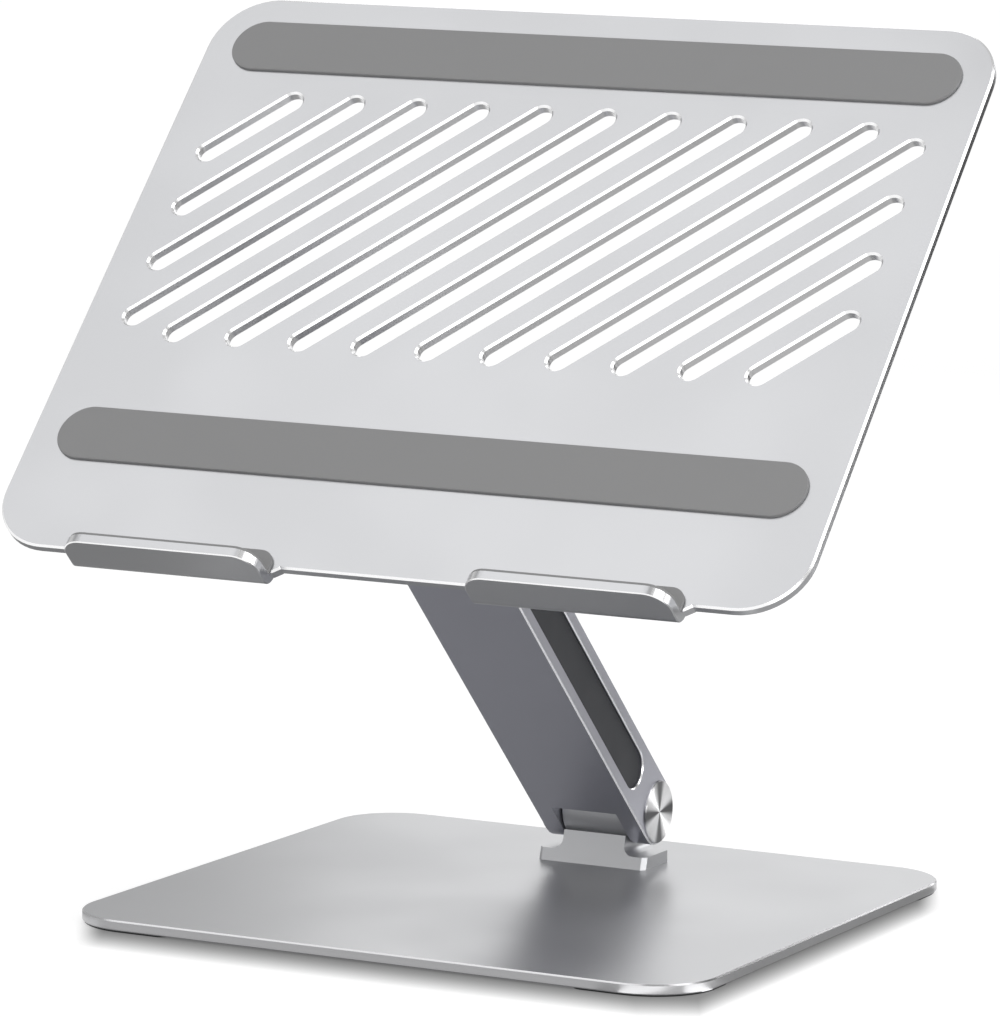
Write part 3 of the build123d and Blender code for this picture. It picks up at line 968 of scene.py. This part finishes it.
    @staticmethod
    def fade(graph: Graph, value: Socket, start: float, step: float) -> Socket:
        """Return 1 on the near side of a start value, and 0 beyond it by the step.

        Args:
            graph: The graph that holds the value.
            value: The value.
            start: Where the fade is halfway.
            step: Half the fade's length, below 0 where it falls downwards.

        Returns:
            The fade.
        """
        if step < 0.0:
            return graph.ramp(value, (start + step, 0.0), (start - step, 1.0))
        return graph.ramp(value, (start - step, 1.0), (start + step, 0.0))

    @staticmethod
    def choose(graph: Graph, factor: Socket, first: Socket, second: Socket) -> Socket:
        """Mix two shaders.

        Args:
            graph: The graph that holds them.
            factor: How much of the second shader shows.
            first: The shader at 0.
            second: The shader at 1.

        Returns:
            The mixed shader.
        """
        node = graph.add("ShaderNodeMixShader")
        graph.feed(factor, node.inputs["Fac"])
        graph.feed(first, node.inputs[1])
        graph.feed(second, node.inputs[2])
        return node.outputs["Shader"]

    def hang_sky(self) -> None:
        """Make the room's soft light, white where the camera or a reflection looks past the floor."""
        world = bpy.data.worlds.new("studio_sky")
        world.use_nodes = True
        graph = Graph(world.node_tree)
        way = graph.add("ShaderNodeSeparateXYZ")
        graph.feed(graph.add("ShaderNodeTexCoord").outputs["Generated"], way.inputs["Vector"])
        level = graph.ramp(way.outputs["Z"], (0.0, self.sky_low), (0.8, self.sky_high))
        path = graph.add("ShaderNodeLightPath").outputs
        rim = graph.ramp(way.outputs["Z"], (0.0, 1.0), (self.sky_rim, 0.0))
        mirrored = graph.math("MULTIPLY", path["Is Glossy Ray"], rim)
        direct = graph.math("MAXIMUM", path["Is Camera Ray"], path["Is Transmission Ray"])
        white = graph.math("MAXIMUM", direct, mirrored)
        graph.feed(graph.blend(white, level, 1.02), world.node_tree.nodes["Background"].inputs["Strength"])
        graph.feed((1.0, 1.0, 1.0, 1.0), world.node_tree.nodes["Background"].inputs["Color"])
        bpy.context.scene.world = world

    def place_camera(self) -> None:
        """Place the camera."""
        back = (Vector(self.eye) - Vector(self.look_at)).normalized()
        right = Vector((-back.y, back.x, 0.0)).normalized()
        turn = Matrix((right, back.cross(right), back)).transposed() @ Matrix.Rotation(self.roll, 3, "Z")
        data = bpy.data.cameras.new("camera")
        data.sensor_fit = "AUTO"
        data.sensor_width = 36.0
        data.lens = self.lens
        camera = bpy.data.objects.new("camera", data)
        camera.matrix_world = Matrix.Translation(self.eye) @ turn.to_4x4()
        bpy.context.scene.collection.objects.link(camera)
        bpy.context.scene.camera = camera

    def build(self) -> None:
        """Set up the floor, sky, lamps, cards and camera."""
        self.lay_floor()
        self.hang_sky()
        for softbox in self.softboxes:
            softbox.hang()
        for flag in self.flags:
            flag.stand()
        self.place_camera()
        bpy.context.scene.view_settings.view_transform = "Standard"


def main() -> None:
    """Build and dress the stand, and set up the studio."""
    for part in (BaseAssembly(), ArmAssembly(), HingeHardware(), TrayAssembly(), Studio()):
        part.build()


if __name__ == "__main__":
    main()
